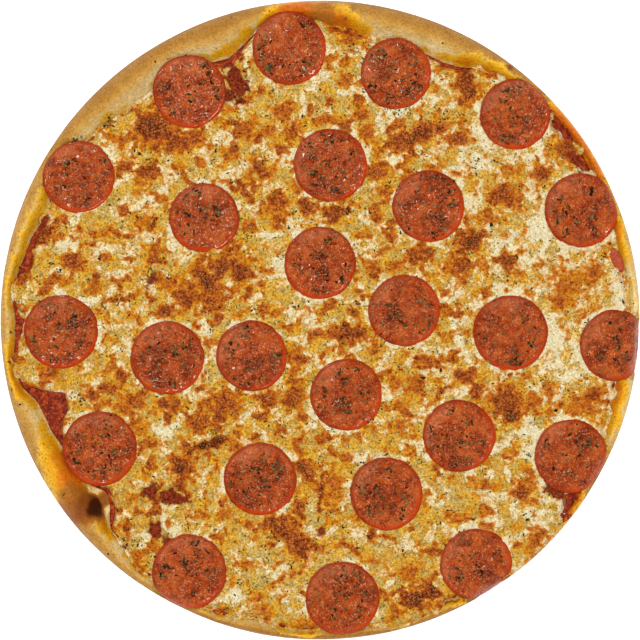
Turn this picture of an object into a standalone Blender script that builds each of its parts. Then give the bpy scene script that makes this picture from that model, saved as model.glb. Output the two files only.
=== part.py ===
import math
import random

import bmesh
import bpy
import numpy as np
from mathutils import Vector, geometry, noise

MM = 0.001

# The whole pizza is a 12 inch round that lies flat on the underside of its dough
RADIUS = 152.5 * MM
GAP = 0.3 * MM                # clearance between pieces that touch
STEPS = 112                   # divisions round the rim, shared by the layers that meet it
SEED = 12

# Dough: a flat base with an uneven raised rim
DOUGH_TOP = 5.0 * MM          # top of the dough under the sauce
RIM_LOW = 9.3 * MM            # height of the rim where it has no width to show
RIM_RISE = 0.42               # extra rim height for each unit of its width
RIM_LUMPS = 0.7 * MM          # height of the lumps along the rim
RIM_LUMP_SIZE = 26 * MM       # how far apart the lumps are
BLISTER = (-106, -88, 10)     # burnt blister on the rim: x, y and radius in mm
BLISTER_RISE = 2.2 * MM

# Width of the bare rim in the gaps between slices: degrees from +X, width in mm
RIM_WIDTHS = (
    (6, 5.7), (13, 8.0), (33, 5.0), (40, 5.5), (55, 10.0), (64, 17.0), (80, 16.7),
    (87, 13.5), (103, 14.0), (109, 21.0), (130, 19.0), (140, 14.0), (158, 13.0),
    (166, 9.5), (175, 6.0), (181, 8.0), (190, 5.2), (198, 14.0), (219, 17.5),
    (227, 11.0), (235, 6.0), (250, 4.5), (258, 7.6), (266, 4.5), (284, 4.2),
    (292, 6.5), (300, 4.0), (322, 4.0), (337, 6.0), (344, 9.6),
)

# Under a slice the rim runs in below it, and is pressed down
FOOT_INSIDE = 3.0 * MM        # how far the rim reaches in under the slice's outer edge
FOOT_LEAST = 8.0 * MM         # least width of the rim below a slice that reaches the edge
PRESS_SPREAD = 1.15           # the pressed stretch, as a share of the slice's own width

# Sauce: a thin layer over the dough
SAUCE_THICK = 1.3 * MM

# Cheese: a melted layer, drawn back from the rim where the sauce shows
CHEESE_LOW = 9.2 * MM         # lowest hollows of its top
CHEESE_RELIEF = 2.0 * MM      # from the lowest hollow to the highest blister
CHEESE_EDGE = 1.4 * MM        # thickness at its outer edge
CHEESE_GRID = 10.0 * MM       # spacing of the points that carry its relief
CHEESE_BLISTER_SIZE = 15 * MM
CHEESE_BACK = 0.8 * MM        # how far it always stops short of the sauce's edge

# Where the cheese is drawn back: degrees from +X, half width in degrees, depth in mm
SAUCE_BAYS = (
    (64, 4, 2.8), (109.5, 3.5, 5.0), (168, 5, 3.0), (181, 4, 4.0), (197, 3.6, 15.0),
    (203, 4, 5.0), (220, 4.5, 8.5), (290, 3.5, 3.4), (323.5, 3, 5.0),
)

# Pepperoni slices: x, y and radius in mm
SLICES = (
    (-14.5, 129.0, 17.6), (-62.0, 108.5, 17.4), (36.0, 117.0, 16.9), (92.5, 97.5, 16.9),
    (-114.5, 68.0, 17.2), (5.0, 73.5, 17.6), (-55.0, 48.5, 16.7), (51.5, 54.0, 17.2),
    (124.0, 52.0, 17.6), (0.0, 27.0, 17.2), (40.0, 4.5, 17.1), (-123.0, -5.5, 17.6),
    (-72.5, -18.0, 17.6), (-32.5, -17.0, 16.9), (90.5, -6.0, 17.9), (140.0, -12.0, 16.9),
    (12.5, -35.5, 17.2), (-104.5, -61.0, 17.8), (66.0, -55.0, 17.3), (-28.5, -75.5, 17.4),
    (31.5, -82.5, 17.4), (119.0, -64.5, 17.5), (-62.0, -119.5, 17.8), (74.0, -116.0, 17.2),
    (10.5, -132.0, 17.6),
)
SLICE_THICK = 2.0 * MM
SLICE_SEAT = 8.9 * MM         # height of the underside, a little sunk in the cheese
SLICE_LEAN = 0.05             # slope of a slice that leans up on the rim
SLICE_TILT = 0.012            # most slope of a slice that lies free on the cheese
SLICE_DISH = 0.25 * MM        # how much lower the middle is than the edge
SLICE_WAVE = 0.014            # unevenness of the outline, as a share of the radius
SLICE_SIDES = 18
SLICE_FOOT = 0.96             # radius of the underside, as a share of the radius
SLICE_BEND_RING = 0.68        # a ring, as a share of the radius, that lets a slice bend
RIM_REACH = 143 * MM          # a slice that reaches past this leans on the rim

# A slice that reaches the outline folds down over the edge of the dough
FOLD_START = 144.8 * MM
FOLD_RADIUS = 6.5 * MM
FOLD_END = 154.3 * MM         # where the folded slices end, measured along the slice

# A sliver of cooked meat at the edge of the cheese: x, y, long and short half axes in mm
SLIVER = (141.0, 28.5, 6.2, 2.7)
SLIVER_THICK = 1.3 * MM
SLIVER_SEAT = 9.3 * MM
SLIVER_TURN = math.radians(112)

# Dried herb flakes fused to the cheese
FLAKES = 40
FLAKE_LENGTH = (2.4 * MM, 3.8 * MM)
FLAKE_SHAPE = (0.5, 0.28)     # width and thickness as shares of the length
FLAKE_CLEAR = 1.6 * MM        # room kept between a flake and another piece


def material(name, color, roughness):
    # One Principled BSDF material
    mat = bpy.data.materials.new(name)
    mat.use_nodes = True
    shader = mat.node_tree.nodes["Principled BSDF"]
    shader.inputs["Base Color"].default_value = (*color, 1.0)
    shader.inputs["Roughness"].default_value = roughness
    shader.inputs["Metallic"].default_value = 0.0
    mat.diffuse_color = (*color, 1.0)
    return mat


def add_object(name, mesh, collection, mat=None):
    # Puts a mesh in a collection as a named object
    obj = bpy.data.objects.new(name, mesh)
    collection.objects.link(obj)
    if mat:
        mesh.materials.append(mat)
    return obj


def evaluated_mesh(obj):
    # The object's mesh with its modifiers applied; the object is removed
    name = obj.name
    depsgraph = bpy.context.evaluated_depsgraph_get()
    mesh = bpy.data.meshes.new_from_object(obj.evaluated_get(depsgraph))
    bpy.data.objects.remove(obj)
    mesh.name = name
    return mesh


def turned_mesh(name, profile, sides):
    # Turns a profile of (radius, height) points, from top centre to bottom centre
    mesh = bpy.data.meshes.new(name + "_profile")
    points = [(radius, 0.0, height) for radius, height in profile]
    edges = [(i, i + 1) for i in range(len(points) - 1)]
    mesh.from_pydata(points, edges, [])
    obj = add_object(name, mesh, bpy.context.scene.collection)
    screw = obj.modifiers.new("turn", "SCREW")
    screw.steps = sides
    screw.render_steps = sides
    screw.use_merge_vertices = True
    screw.merge_threshold = 0.00001
    return evaluated_mesh(obj)


def read_points(mesh):
    points = np.empty(len(mesh.vertices) * 3)
    mesh.vertices.foreach_get("co", points)
    return points.reshape(-1, 3)


def write_points(mesh, points):
    mesh.vertices.foreach_set("co", points.ravel())
    mesh.update()


def turn_between(angle, middle):
    # Signed angle from middle to angle, in degrees, between -180 and 180
    return (angle - middle + 180) % 360 - 180


def smooth_bump(distance, reach):
    # 1 at no distance, falling smoothly to 0 at reach
    share = np.clip(np.abs(distance) / reach, 0, 1)
    return 0.5 + 0.5 * np.cos(math.pi * share)


def round_interp(angle, rows):
    # Smooth periodic interpolation of (degrees, value) rows
    angles = np.array([row[0] for row in rows], float)
    values = np.array([row[1] for row in rows], float)
    angles = np.concatenate((angles[-1:] - 360, angles, angles[:1] + 360))
    values = np.concatenate((values[-1:], values, values[:1]))
    angle = np.mod(angle - angles[0], 360) + angles[0]
    after = np.clip(np.searchsorted(angles, angle, side="right"), 1, len(angles) - 1)
    share = (angle - angles[after - 1]) / (angles[after] - angles[after - 1])
    share = 0.5 - 0.5 * np.cos(math.pi * share)
    return values[after - 1] + share * (values[after] - values[after - 1])


def rim_shape(angle):
    # Width and height of the rim at an angle in degrees
    width = round_interp(angle, RIM_WIDTHS) * MM
    height = RIM_LOW + RIM_RISE * width
    for x, y, radius in SLICES:
        reach = math.hypot(x, y) * MM
        shows = max(RADIUS - reach - radius * MM, 0.0)
        middle = math.degrees(math.atan2(y, x))
        under = max(shows + FOOT_INSIDE, FOOT_LEAST)
        if under > round_interp(middle, RIM_WIDTHS) * MM + FOOT_INSIDE * 2:
            continue
        spread = PRESS_SPREAD * math.degrees(math.asin(radius * MM / reach))
        press = smooth_bump(turn_between(angle, middle), spread)
        width = width + press * (under - width)
        height = height + press * (RIM_LOW + RIM_RISE * shows - height)
    return width, height


def lump(points, size, layer=0.0):
    # Smooth noise between about -1 and 1 at each point
    return np.array([noise.noise(Vector((x / size, y / size, layer))) for x, y, z in points])


def rim_profile(width, height):
    # Half section of the dough, from top centre to bottom centre
    rise = height - DOUGH_TOP
    over_rim = ((1.0, 0.0), (0.9, 0.2), (0.74, 0.64), (0.5, 1.0), (0.28, 0.92), (0.1, 0.55))
    under_rim = ((0.0, 5.0), (0.5, 3.1), (2.3, 1.1), (7.0, 0.0))
    profile = [(0.0, DOUGH_TOP)]
    profile += [(RADIUS - part * width, DOUGH_TOP + lift * rise) for part, lift in over_rim]
    profile += [(RADIUS - inset * MM, level * MM) for inset, level in under_rim]
    profile.append((0.0, 0.0))
    return profile


def dough_mesh():
    # A turned dough whose rim is then given its own width and height at each angle
    plain_width = 12 * MM
    plain_height = 14 * MM
    mesh = turned_mesh("crust", rim_profile(plain_width, plain_height), STEPS)
    points = read_points(mesh)
    reach = np.hypot(points[:, 0], points[:, 1])
    angle = np.degrees(np.arctan2(points[:, 1], points[:, 0]))
    width, height = rim_shape(angle)
    on_rim = (points[:, 2] > DOUGH_TOP - GAP) & (reach > RADIUS - plain_width - GAP)
    inset = (RADIUS - reach) * width / plain_width
    lift = (points[:, 2] - DOUGH_TOP) * (height - DOUGH_TOP) / (plain_height - DOUGH_TOP)
    new_reach = np.where(on_rim, RADIUS - inset, reach)
    scale = new_reach / np.maximum(reach, MM)
    points[:, 0] *= scale
    points[:, 1] *= scale
    rise_share = np.clip(lift / (height - DOUGH_TOP), 0, 1)
    blister_x, blister_y, blister_size = (value * MM for value in BLISTER)
    away = np.hypot(points[:, 0] - blister_x, points[:, 1] - blister_y)
    extra = RIM_LUMPS * lump(points, RIM_LUMP_SIZE) + BLISTER_RISE * np.exp(-(away / blister_size) ** 2)
    points[:, 2] = np.where(on_rim, DOUGH_TOP + lift + rise_share * extra, points[:, 2])
    write_points(mesh, points)
    return mesh


def layer_outline(bays):
    # Radius of a layer's outline at each step, inside the foot of the rim
    angle = np.arange(STEPS) * 360 / STEPS
    width, height = rim_shape(angle)
    outline = RADIUS - width - 1.4 * GAP
    for middle, half, depth in bays:
        outline = outline - depth * MM * smooth_bump(turn_between(angle, middle), half * 1.6)
    return np.radians(angle), outline


def sauce_mesh():
    # A thin slab with the rim's own inner outline
    bm = bmesh.new()
    bmesh.ops.create_circle(bm, segments=STEPS, radius=1.0, cap_ends=True)
    bm.verts.ensure_lookup_table()
    angle, outline = layer_outline(())
    for vert in bm.verts:
        step = round(math.atan2(vert.co.y, vert.co.x) / (2 * math.pi) * STEPS) % STEPS
        vert.co.x = outline[step] * math.cos(angle[step])
        vert.co.y = outline[step] * math.sin(angle[step])
        vert.co.z = DOUGH_TOP + GAP
    top = bmesh.ops.extrude_face_region(bm, geom=bm.faces[:])
    for part in top["geom"]:
        if isinstance(part, bmesh.types.BMVert):
            part.co.z += SAUCE_THICK
    bmesh.ops.recalc_face_normals(bm, faces=bm.faces[:])
    mesh = bpy.data.meshes.new("sauce")
    bm.to_mesh(mesh)
    bm.free()
    return mesh


def cheese_height(points):
    # Top of the cheese: broad hollows and blisters
    broad = lump(points, CHEESE_BLISTER_SIZE * 2.4, 4.0)
    fine = lump(points, CHEESE_BLISTER_SIZE, 9.0)
    share = np.clip(0.5 + 0.5 * broad + 0.55 * fine, 0, 1)
    return CHEESE_LOW + CHEESE_RELIEF * share


def cheese_points():
    # The outline's points, then a six-sided lattice inside it
    angle, outline = layer_outline(SAUCE_BAYS)
    outline = outline - CHEESE_BACK
    ring = np.column_stack((outline * np.cos(angle), outline * np.sin(angle)))
    rows = int(RADIUS / (CHEESE_GRID * math.sqrt(0.75)))
    inside = []
    for row in range(-rows, rows + 1):
        y = row * CHEESE_GRID * math.sqrt(0.75)
        for column in range(-rows - 1, rows + 2):
            x = (column + 0.5 * (row % 2)) * CHEESE_GRID
            edge = np.interp(math.atan2(y, x) % (2 * math.pi), angle, outline, period=2 * math.pi)
            if math.hypot(x, y) < edge - 0.45 * CHEESE_GRID:
                inside.append((x, y))
    return ring, np.array(inside)


def cheese_mesh():
    # A relief top over a flat underside, closed round its edge
    ring, inside = cheese_points()
    flat = [Vector(point) for point in np.vstack((ring, inside))]
    border = list(range(STEPS))
    net = geometry.delaunay_2d_cdt(flat, [], [border], 1, 1e-6, True)
    points = net[0]
    faces = [face for face, inside_of in zip(net[2], net[5]) if inside_of]
    bm = bmesh.new()
    bottom = DOUGH_TOP + 2 * GAP + SAUCE_THICK
    tops = cheese_height(np.array([(point.x, point.y, 0.0) for point in points]))
    verts = [bm.verts.new((point.x, point.y, top)) for point, top in zip(points, tops)]
    for face in faces:
        bm.faces.new([verts[i] for i in face])
    rim_edges = [edge for edge in bm.edges if edge.is_boundary]
    for vert in {vert for edge in rim_edges for vert in edge.verts}:
        vert.co.z = bottom + CHEESE_EDGE
    wall = bmesh.ops.extrude_edge_only(bm, edges=rim_edges)["geom"]
    for part in wall:
        if isinstance(part, bmesh.types.BMVert):
            part.co.z = bottom
    lower = [part for part in wall if isinstance(part, bmesh.types.BMEdge)]
    bmesh.ops.edgeloop_fill(bm, edges=lower)
    bmesh.ops.recalc_face_normals(bm, faces=bm.faces[:])
    mesh = bpy.data.meshes.new("cheese")
    bm.to_mesh(mesh)
    bm.free()
    return mesh


def folds(x, y, radius):
    # True for a slice that reaches past the start of the fold
    return math.hypot(x, y) * MM + radius > FOLD_START + MM


def slice_profile(radius, bent):
    # Half section of a slice, from top centre to bottom centre
    top = SLICE_THICK
    profile = [(0.0, top - SLICE_DISH)]
    if bent:
        profile.append((SLICE_BEND_RING * radius, top - SLICE_DISH))
    profile += [(0.93 * radius, top), (radius, 0.6 * top), (SLICE_FOOT * radius, 0.0)]
    if bent:
        profile.append((SLICE_BEND_RING * radius, 0.0))
    profile.append((0.0, 0.0))
    return profile


def seat_profile(radius, bent):
    # Half section of the hollow that a slice of this radius lies in
    above = 9 * MM
    below = -2 * GAP if bent else -GAP
    wall = radius + (3 * GAP if bent else 1.2 * GAP)
    profile = [(0.0, above), (wall, above), (wall, below)]
    if bent:
        profile += [(SLICE_FOOT * radius, below), (SLICE_BEND_RING * radius, below)]
    profile.append((0.0, below))
    return profile


def lay_on_pizza(mesh, x, y, seat, slope, thick, wave=(0.0, 0.0), end=FOLD_END):
    # Moves a flat piece to its place: an uneven outline, a slope, and a fold past the edge
    points = read_points(mesh)
    angle = np.arctan2(points[:, 1], points[:, 0])
    uneven = 1 + wave[0] * np.cos(2 * angle + wave[1]) + 0.6 * wave[0] * np.cos(3 * angle - wave[1])
    east = x + points[:, 0] * uneven
    north = y + points[:, 1] * uneven
    reach = np.hypot(east, north)
    kept = np.minimum(reach, end)
    heading = np.arctan2(north, east)
    base = seat + slope[0] * (east - x) + slope[1] * (north - y)
    bend = np.maximum(kept - FOLD_START, 0) / FOLD_RADIUS
    bow = FOLD_RADIUS + points[:, 2] - 0.5 * thick
    out = np.minimum(kept, FOLD_START) + bow * np.sin(bend)
    points[:, 0] = out * np.cos(heading)
    points[:, 1] = out * np.sin(heading)
    points[:, 2] = base + points[:, 2] - bow * (1 - np.cos(bend))
    write_points(mesh, points)


def slice_slope(x, y, radius, draw):
    # A slice at the rim leans up on it, and any other has a slight tilt of its own
    reach = math.hypot(x, y)
    if reach * MM + radius > RIM_REACH:
        return (SLICE_LEAN * x / reach, SLICE_LEAN * y / reach)
    return (draw.uniform(-SLICE_TILT, SLICE_TILT), draw.uniform(-SLICE_TILT, SLICE_TILT))


def make_slices(pizza, seats, mat):
    # The pepperoni slices, and the hollow that each one needs
    draw = random.Random(SEED)
    for number, (x, y, radius) in enumerate(SLICES, 1):
        name = "pepperoni_%02d" % number
        size = radius * MM
        bent = folds(x, y, size)
        slope = slice_slope(x, y, size, draw)
        wave = (draw.uniform(0.3, 1.0) * SLICE_WAVE, draw.uniform(0, 2 * math.pi))
        place = (x * MM, y * MM, SLICE_SEAT)
        solid = turned_mesh(name, slice_profile(size, bent), SLICE_SIDES)
        lay_on_pizza(solid, *place, slope, SLICE_THICK, wave)
        set_origin(add_object(name, solid, pizza, mat), place)
        hollow = turned_mesh(name + "_seat", seat_profile(size, bent), SLICE_SIDES)
        lay_on_pizza(hollow, *place, slope, SLICE_THICK, wave, FOLD_END + 3 * GAP)
        add_object(name + "_seat", hollow, seats)


def set_origin(obj, place):
    # Puts the object's origin at a place and leaves its shape where it is
    points = read_points(obj.data)
    write_points(obj.data, points - np.array(place))
    obj.location = place


def make_sliver(pizza, seats, mat):
    # A thin oval sliver that leans on the foot of the rim
    x, y, long_half, short_half = (value * MM for value in SLIVER)
    reach = math.hypot(x, y)
    slope = (4 * SLICE_LEAN * x / reach, 4 * SLICE_LEAN * y / reach)
    solid = ((0, 0.8), (0.55, 1.0), (1.0, 0.45), (0.8, 0.0), (0, 0.0))
    room = GAP / short_half
    hollow = ((0, 7.0), (1 + 1.3 * room, 7.0), (1 + 1.3 * room, -0.24), (0, -0.24))
    for label, shape in (("", solid), ("_seat", hollow)):
        profile = [(part * long_half, level * SLIVER_THICK) for part, level in shape]
        mesh = turned_mesh("ham_sliver" + label, profile, 14)
        points = read_points(mesh)
        points[:, 1] *= short_half / long_half
        turn = np.array(((math.cos(SLIVER_TURN), math.sin(SLIVER_TURN)),
                         (-math.sin(SLIVER_TURN), math.cos(SLIVER_TURN))))
        points[:, :2] = points[:, :2] @ turn
        write_points(mesh, points)
        lay_on_pizza(mesh, x, y, SLIVER_SEAT, slope, SLIVER_THICK)
        if label:
            add_object("ham_sliver" + label, mesh, seats)
        else:
            set_origin(add_object("ham_sliver", mesh, pizza, mat), (x, y, SLIVER_SEAT))


def make_flakes(cheese, collection):
    # Herb flakes half sunk in the cheese, clear of the slices and of the edge
    draw = random.Random(SEED + 1)
    angle, outline = layer_outline(SAUCE_BAYS)
    placed = []
    while len(placed) < FLAKES:
        size = FLAKE_LENGTH[1] - (FLAKE_LENGTH[1] - FLAKE_LENGTH[0]) * len(placed) / FLAKES
        reach = RADIUS * math.sqrt(draw.random())
        heading = draw.uniform(0, 2 * math.pi)
        x, y = reach * math.cos(heading), reach * math.sin(heading)
        edge = np.interp(heading, angle, outline, period=2 * math.pi) - CHEESE_BACK
        free = reach < edge - size - FLAKE_CLEAR
        for slice_x, slice_y, radius in SLICES:
            room = radius * MM + size + FLAKE_CLEAR
            free = free and math.hypot(x - slice_x * MM, y - slice_y * MM) > room
        for other_x, other_y in placed:
            free = free and math.hypot(x - other_x, y - other_y) > 2 * size
        if not free:
            continue
        placed.append((x, y))
        bm = bmesh.new()
        bmesh.ops.create_icosphere(bm, subdivisions=1, radius=0.5)
        bmesh.ops.scale(bm, vec=(size, size * FLAKE_SHAPE[0], size * FLAKE_SHAPE[1]), verts=bm.verts)
        mesh = bpy.data.meshes.new("flake")
        bm.to_mesh(mesh)
        bm.free()
        flake = add_object("flake_%02d" % len(placed), mesh, collection)
        flake.location = cheese.ray_cast((x, y, RADIUS), (0, 0, -1))[1]
        flake.rotation_euler = (draw.uniform(-0.2, 0.2), draw.uniform(-0.2, 0.2), draw.uniform(0, 3.1))


def combine(obj, collection, operation):
    # One Boolean with a whole collection, applied to the object's mesh
    boolean = obj.modifiers.new(operation.lower(), "BOOLEAN")
    boolean.operation = operation
    boolean.operand_type = "COLLECTION"
    boolean.collection = collection
    boolean.solver = "EXACT"
    depsgraph = bpy.context.evaluated_depsgraph_get()
    mesh = bpy.data.meshes.new_from_object(obj.evaluated_get(depsgraph))
    obj.modifiers.clear()
    obj.data = mesh


def remove_collection(collection):
    for obj in list(collection.objects):
        bpy.data.objects.remove(obj)
    bpy.data.collections.remove(collection)


def new_collection(name):
    collection = bpy.data.collections.new(name)
    bpy.context.scene.collection.children.link(collection)
    return collection


def build():
    for obj in list(bpy.data.objects):
        bpy.data.objects.remove(obj)
    pizza = new_collection("pepperoni_pizza")
    seats = new_collection("slice_seats")
    herbs = new_collection("herb_flakes")

    crust = add_object("crust", dough_mesh(), pizza, material("baked_crust", (0.62, 0.38, 0.16), 0.7))
    add_object("sauce", sauce_mesh(), pizza, material("tomato_sauce", (0.28, 0.03, 0.015), 0.35))
    cheese = add_object("cheese", cheese_mesh(), pizza,
                        material("melted_cheese", (0.86, 0.62, 0.25), 0.4))
    make_slices(pizza, seats, material("pepperoni", (0.45, 0.08, 0.02), 0.4))
    make_sliver(pizza, seats, material("cooked_ham", (0.5, 0.14, 0.1), 0.45))

    combine(crust, seats, "DIFFERENCE")
    combine(cheese, seats, "DIFFERENCE")
    make_flakes(cheese, herbs)
    combine(cheese, herbs, "UNION")
    remove_collection(seats)
    remove_collection(herbs)
    for obj in pizza.objects:
        obj.data.shade_smooth()
        obj.data.set_sharp_from_angle(angle=math.radians(40))


build()
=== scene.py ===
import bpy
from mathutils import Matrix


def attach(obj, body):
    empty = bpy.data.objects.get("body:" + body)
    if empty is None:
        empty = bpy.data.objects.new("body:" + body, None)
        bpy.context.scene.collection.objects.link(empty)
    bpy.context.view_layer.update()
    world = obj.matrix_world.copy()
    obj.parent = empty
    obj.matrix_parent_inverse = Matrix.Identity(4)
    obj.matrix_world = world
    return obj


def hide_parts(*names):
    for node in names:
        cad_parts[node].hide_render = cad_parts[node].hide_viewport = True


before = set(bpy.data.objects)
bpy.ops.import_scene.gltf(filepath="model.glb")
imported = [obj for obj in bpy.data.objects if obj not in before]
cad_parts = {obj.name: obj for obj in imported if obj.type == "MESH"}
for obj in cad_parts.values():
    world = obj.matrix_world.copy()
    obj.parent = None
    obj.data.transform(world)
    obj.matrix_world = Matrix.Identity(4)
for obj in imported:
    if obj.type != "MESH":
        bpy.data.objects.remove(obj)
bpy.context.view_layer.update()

import math

import bpy
import numpy as np

mm = 0.001               # all shapes below are worked out in millimetres, +Z up
tau = 2 * math.pi
photo = dict(centreX=320, centreY=319.5, mmPerPixel=0.4766)   # places marked px are the photograph's pixels


def fromPhoto(px, py):
    # A pixel of the photograph as a place on the pizza
    return (px - photo["centreX"]) * photo["mmPerPixel"], (photo["centreY"] - py) * photo["mmPerPixel"]


# Noise on whole arrays

def hashGrid(i, j, seed):
    # A number from 0 to 1 for each lattice point, mixed from its two whole coordinates
    n = (i * 374761393 + j * 668265263 + seed * 974711) & 0x7fffffff
    n = ((n ^ (n >> 13)) * 1274126177) & 0x7fffffff
    n = ((n ^ (n >> 15)) * 668265263) & 0x7fffffff
    return ((n ^ (n >> 12)) & 0xffff) / 65535.0


def waves(x, y, cell, seed, octaves=1):
    # Gradient noise, about -1 to 1: each lattice corner has a slope in a random direction,
    # and the four slopes are blended by 6t^5 - 15t^4 + 10t^3; each octave is half the size and half as strong
    total, gain = np.zeros(np.shape(x)), 1.0
    for octave in range(octaves):
        u, v = x / cell * 2 ** octave + 31.7 * octave, y / cell * 2 ** octave - 17.3 * octave
        i, j = np.floor(u).astype(np.int64), np.floor(v).astype(np.int64)
        fu, fv = u - i, v - j
        su, sv = fu ** 3 * (fu * (fu * 6 - 15) + 10), fv ** 3 * (fv * (fv * 6 - 15) + 10)
        for di in (0, 1):
            for dj in (0, 1):
                turn = tau * hashGrid(i + di, j + dj, seed + octave)
                slope = np.cos(turn) * (fu - di) + np.sin(turn) * (fv - dj)
                weight = (su if di else 1 - su) * (sv if dj else 1 - sv)
                total = total + 1.5 * gain * weight * slope
        gain *= 0.5
    return total


def cells(x, y, cell, seed):
    # Scattered seeds, one in each square of the lattice: distance to the nearest as a share of
    # the cell, and a random number from 0 to 1 that belongs to that seed
    u, v = x / cell, y / cell
    i, j = np.floor(u).astype(np.int64), np.floor(v).astype(np.int64)
    nearest, owner = np.full(u.shape, 9.0), np.zeros(u.shape)
    for di in (-1, 0, 1):
        for dj in (-1, 0, 1):
            away = np.hypot(i + di + hashGrid(i + di, j + dj, seed) - u,
                            j + dj + hashGrid(i + di, j + dj, seed + 7) - v)
            closer = away < nearest
            owner = np.where(closer, hashGrid(i + di, j + dj, seed + 13), owner)
            nearest = np.where(closer, away, nearest)
    return nearest, owner


def fade(value, low, high):
    # 0 below low, 1 above high, smooth between
    share = np.clip((value - low) / (high - low), 0, 1)
    return share * share * (3 - 2 * share)


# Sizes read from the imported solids

def nodePoints(node):
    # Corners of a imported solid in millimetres
    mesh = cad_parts[node].data
    points = np.empty(len(mesh.vertices) * 3)
    mesh.vertices.foreach_get("co", points)
    return points.reshape(-1, 3) / mm


def polar(x, y):
    # Distance from the centre, and angle from the photograph's right in degrees, 0 to 360
    return np.hypot(x, y), np.degrees(np.arctan2(y, x)) % 360


def ringOf(points, keep):
    # Distance from the centre at each angle, along the points that keep picks
    reach, angle = polar(points[keep, 0], points[keep, 1])
    order = np.argsort(angle)
    return angle[order], reach[order]


def around(angle, ring):
    # Value of a ring at any angle, along straight lines between its own angles
    return np.interp(angle, ring[0], ring[1], period=360)


crustPoints = nodePoints("crust")
cheesePoints = nodePoints("cheese")
saucePoints = nodePoints("sauce")
crustReach, crustAngle = polar(crustPoints[:, 0], crustPoints[:, 1])
radius = crustReach.max()                                   # of the whole pizza
doughTop = 5.0                                              # level of the dough under the sauce
footRing = ringOf(crustPoints, (abs(crustPoints[:, 2] - doughTop) < 0.05) & (crustReach < 148.6))
crestAngles = np.arange(0, 360, 360 / 112)
crestHeights = np.array([crustPoints[abs((crustAngle - turn + 180) % 360 - 180) < 2.4][:, 2].max()
                         for turn in crestAngles])
crestRing = (crestAngles, crestHeights)
sauceRing = ringOf(saucePoints, polar(*saucePoints[:, :2].T)[0] > 90)
sauceTop = saucePoints[:, 2].max()
cheeseLow = cheesePoints[:, 2].min()
cheeseRing = ringOf(cheesePoints, abs(cheesePoints[:, 2] - cheeseLow) < 0.05)

fold = dict(start=144.8, radius=6.5, end=154.3)             # how the slices at the outline bend over the dough
blister = dict(x=-103.5, y=-86.5, size=5.0, height=2.6)       # burnt bubble at the rim's inner side
sliceSeat = dict(height=8.9, thick=2.0, lean=0.05, leansFrom=143.0)

# the slices' centres and radii, in the order of their nodes
sliceAt = (
    (-14.5, 129, 17.6), (-62, 108.5, 17.4), (36, 117, 16.9), (92.5, 97.5, 16.9), (-114.5, 68, 17.2),
    (5, 73.5, 17.6), (-55, 48.5, 16.7), (51.5, 54, 17.2), (124, 52, 17.6), (0, 27, 17.2),
    (40, 4.5, 17.1), (-123, -5.5, 17.6), (-72.5, -18, 17.6), (-32.5, -17, 16.9), (90.5, -6, 17.9),
    (140, -12, 16.9), (12.5, -35.5, 17.2), (-104.5, -61, 17.8), (66, -55, 17.3), (-28.5, -75.5, 17.4),
    (31.5, -82.5, 17.4), (119, -64.5, 17.5), (-62, -119.5, 17.8), (74, -116, 17.2), (10.5, -132, 17.6),
)


def placeSlice(node, x, y, r):
    # A slice that reaches the rim leans up on it, away from the centre
    reach = math.hypot(x, y)
    lean = sliceSeat["lean"] if reach + r > sliceSeat["leansFrom"] else 0.0
    return dict(node=node, x=x, y=y, r=r, seat=sliceSeat["height"], thick=sliceSeat["thick"],
                sx=lean * x / reach if lean else 0.0, sy=lean * y / reach if lean else 0.0)


slices = [placeSlice(node, *place) for node, place in
          zip(sorted(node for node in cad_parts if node.startswith("pepperoni")), sliceAt)]
print("read", len(slices), "slices, pizza radius", round(radius, 1), "mm")


def sliceBase(piece, x, y):
    # Plane of a slice's underside: its seat, plus its lean times the distance from its centre
    return piece["seat"] + piece["sx"] * (x - piece["x"]) + piece["sy"] * (y - piece["y"])


def sliceHeight(piece, x, y, lift):
    # Height of the face that is lift above the underside; past the fold it follows a circle
    past = np.clip(np.hypot(x, y) - fold["start"], 0, None)
    bow = fold["radius"] + lift - piece["thick"] / 2
    return sliceBase(piece, x, y) + lift - bow + np.sqrt(np.clip(bow ** 2 - past ** 2, 0, None))


# Surfaces as functions of the place on the pizza

def rimHeight(x, y):
    # Dough: level under the sauce, then a slope that rises as a power of a sine from the rim's
    # foot to its crest half way out, then a quarter ellipse down to the outline
    reach, angle = polar(x, y)
    width = radius - around(angle, footRing)
    crest = around(angle, crestRing) - doughTop
    inset = np.clip((radius - reach) / width, 0, 1)
    inner = np.sin(np.clip((1 - inset) / 0.5, 0, 1) * math.pi / 2) ** 1.3
    outer = np.sqrt(np.clip(1 - ((0.5 - inset) / 0.5) ** 2, 0, 1))
    bubble = blister["height"] * np.exp(-((x - blister["x"]) ** 2 + (y - blister["y"]) ** 2) / blister["size"] ** 2)
    return doughTop + crest * np.where(inset > 0.5, inner, outer) + bubble * fade(inset, 0.0, 0.3)


def underSlices(x, y, height, clearance, beyond):
    # Presses a surface down to the underside of each slice, within its outline and a little beyond
    for piece in slices:
        away = np.hypot(x - piece["x"], y - piece["y"])
        inside = 1 - fade(away, piece["r"] + beyond - 0.6, piece["r"] + beyond)
        pressed = np.minimum(height, sliceHeight(piece, x, y, 0.0) - clearance)
        height = np.where(np.hypot(x, y) < fold["start"] + 5, height + inside * (pressed - height), height)
    return height


# Meshes

def gridFaces(rows, columns, closed):
    # Quads between neighbouring rows of a grid; closed joins the last column to the first
    row, column = np.meshgrid(np.arange(rows - 1), np.arange(columns if closed else columns - 1), indexing="ij")
    after = (column + 1) % columns
    quads = np.stack((row * columns + column, row * columns + after,
                      (row + 1) * columns + after, (row + 1) * columns + column), -1)
    return quads.reshape(-1, 4)


def fanFaces(ring, pole):
    # Triangles from a closed ring of points to one point
    return np.column_stack((ring, np.roll(ring, -1), np.full(len(ring), pole)))


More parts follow.
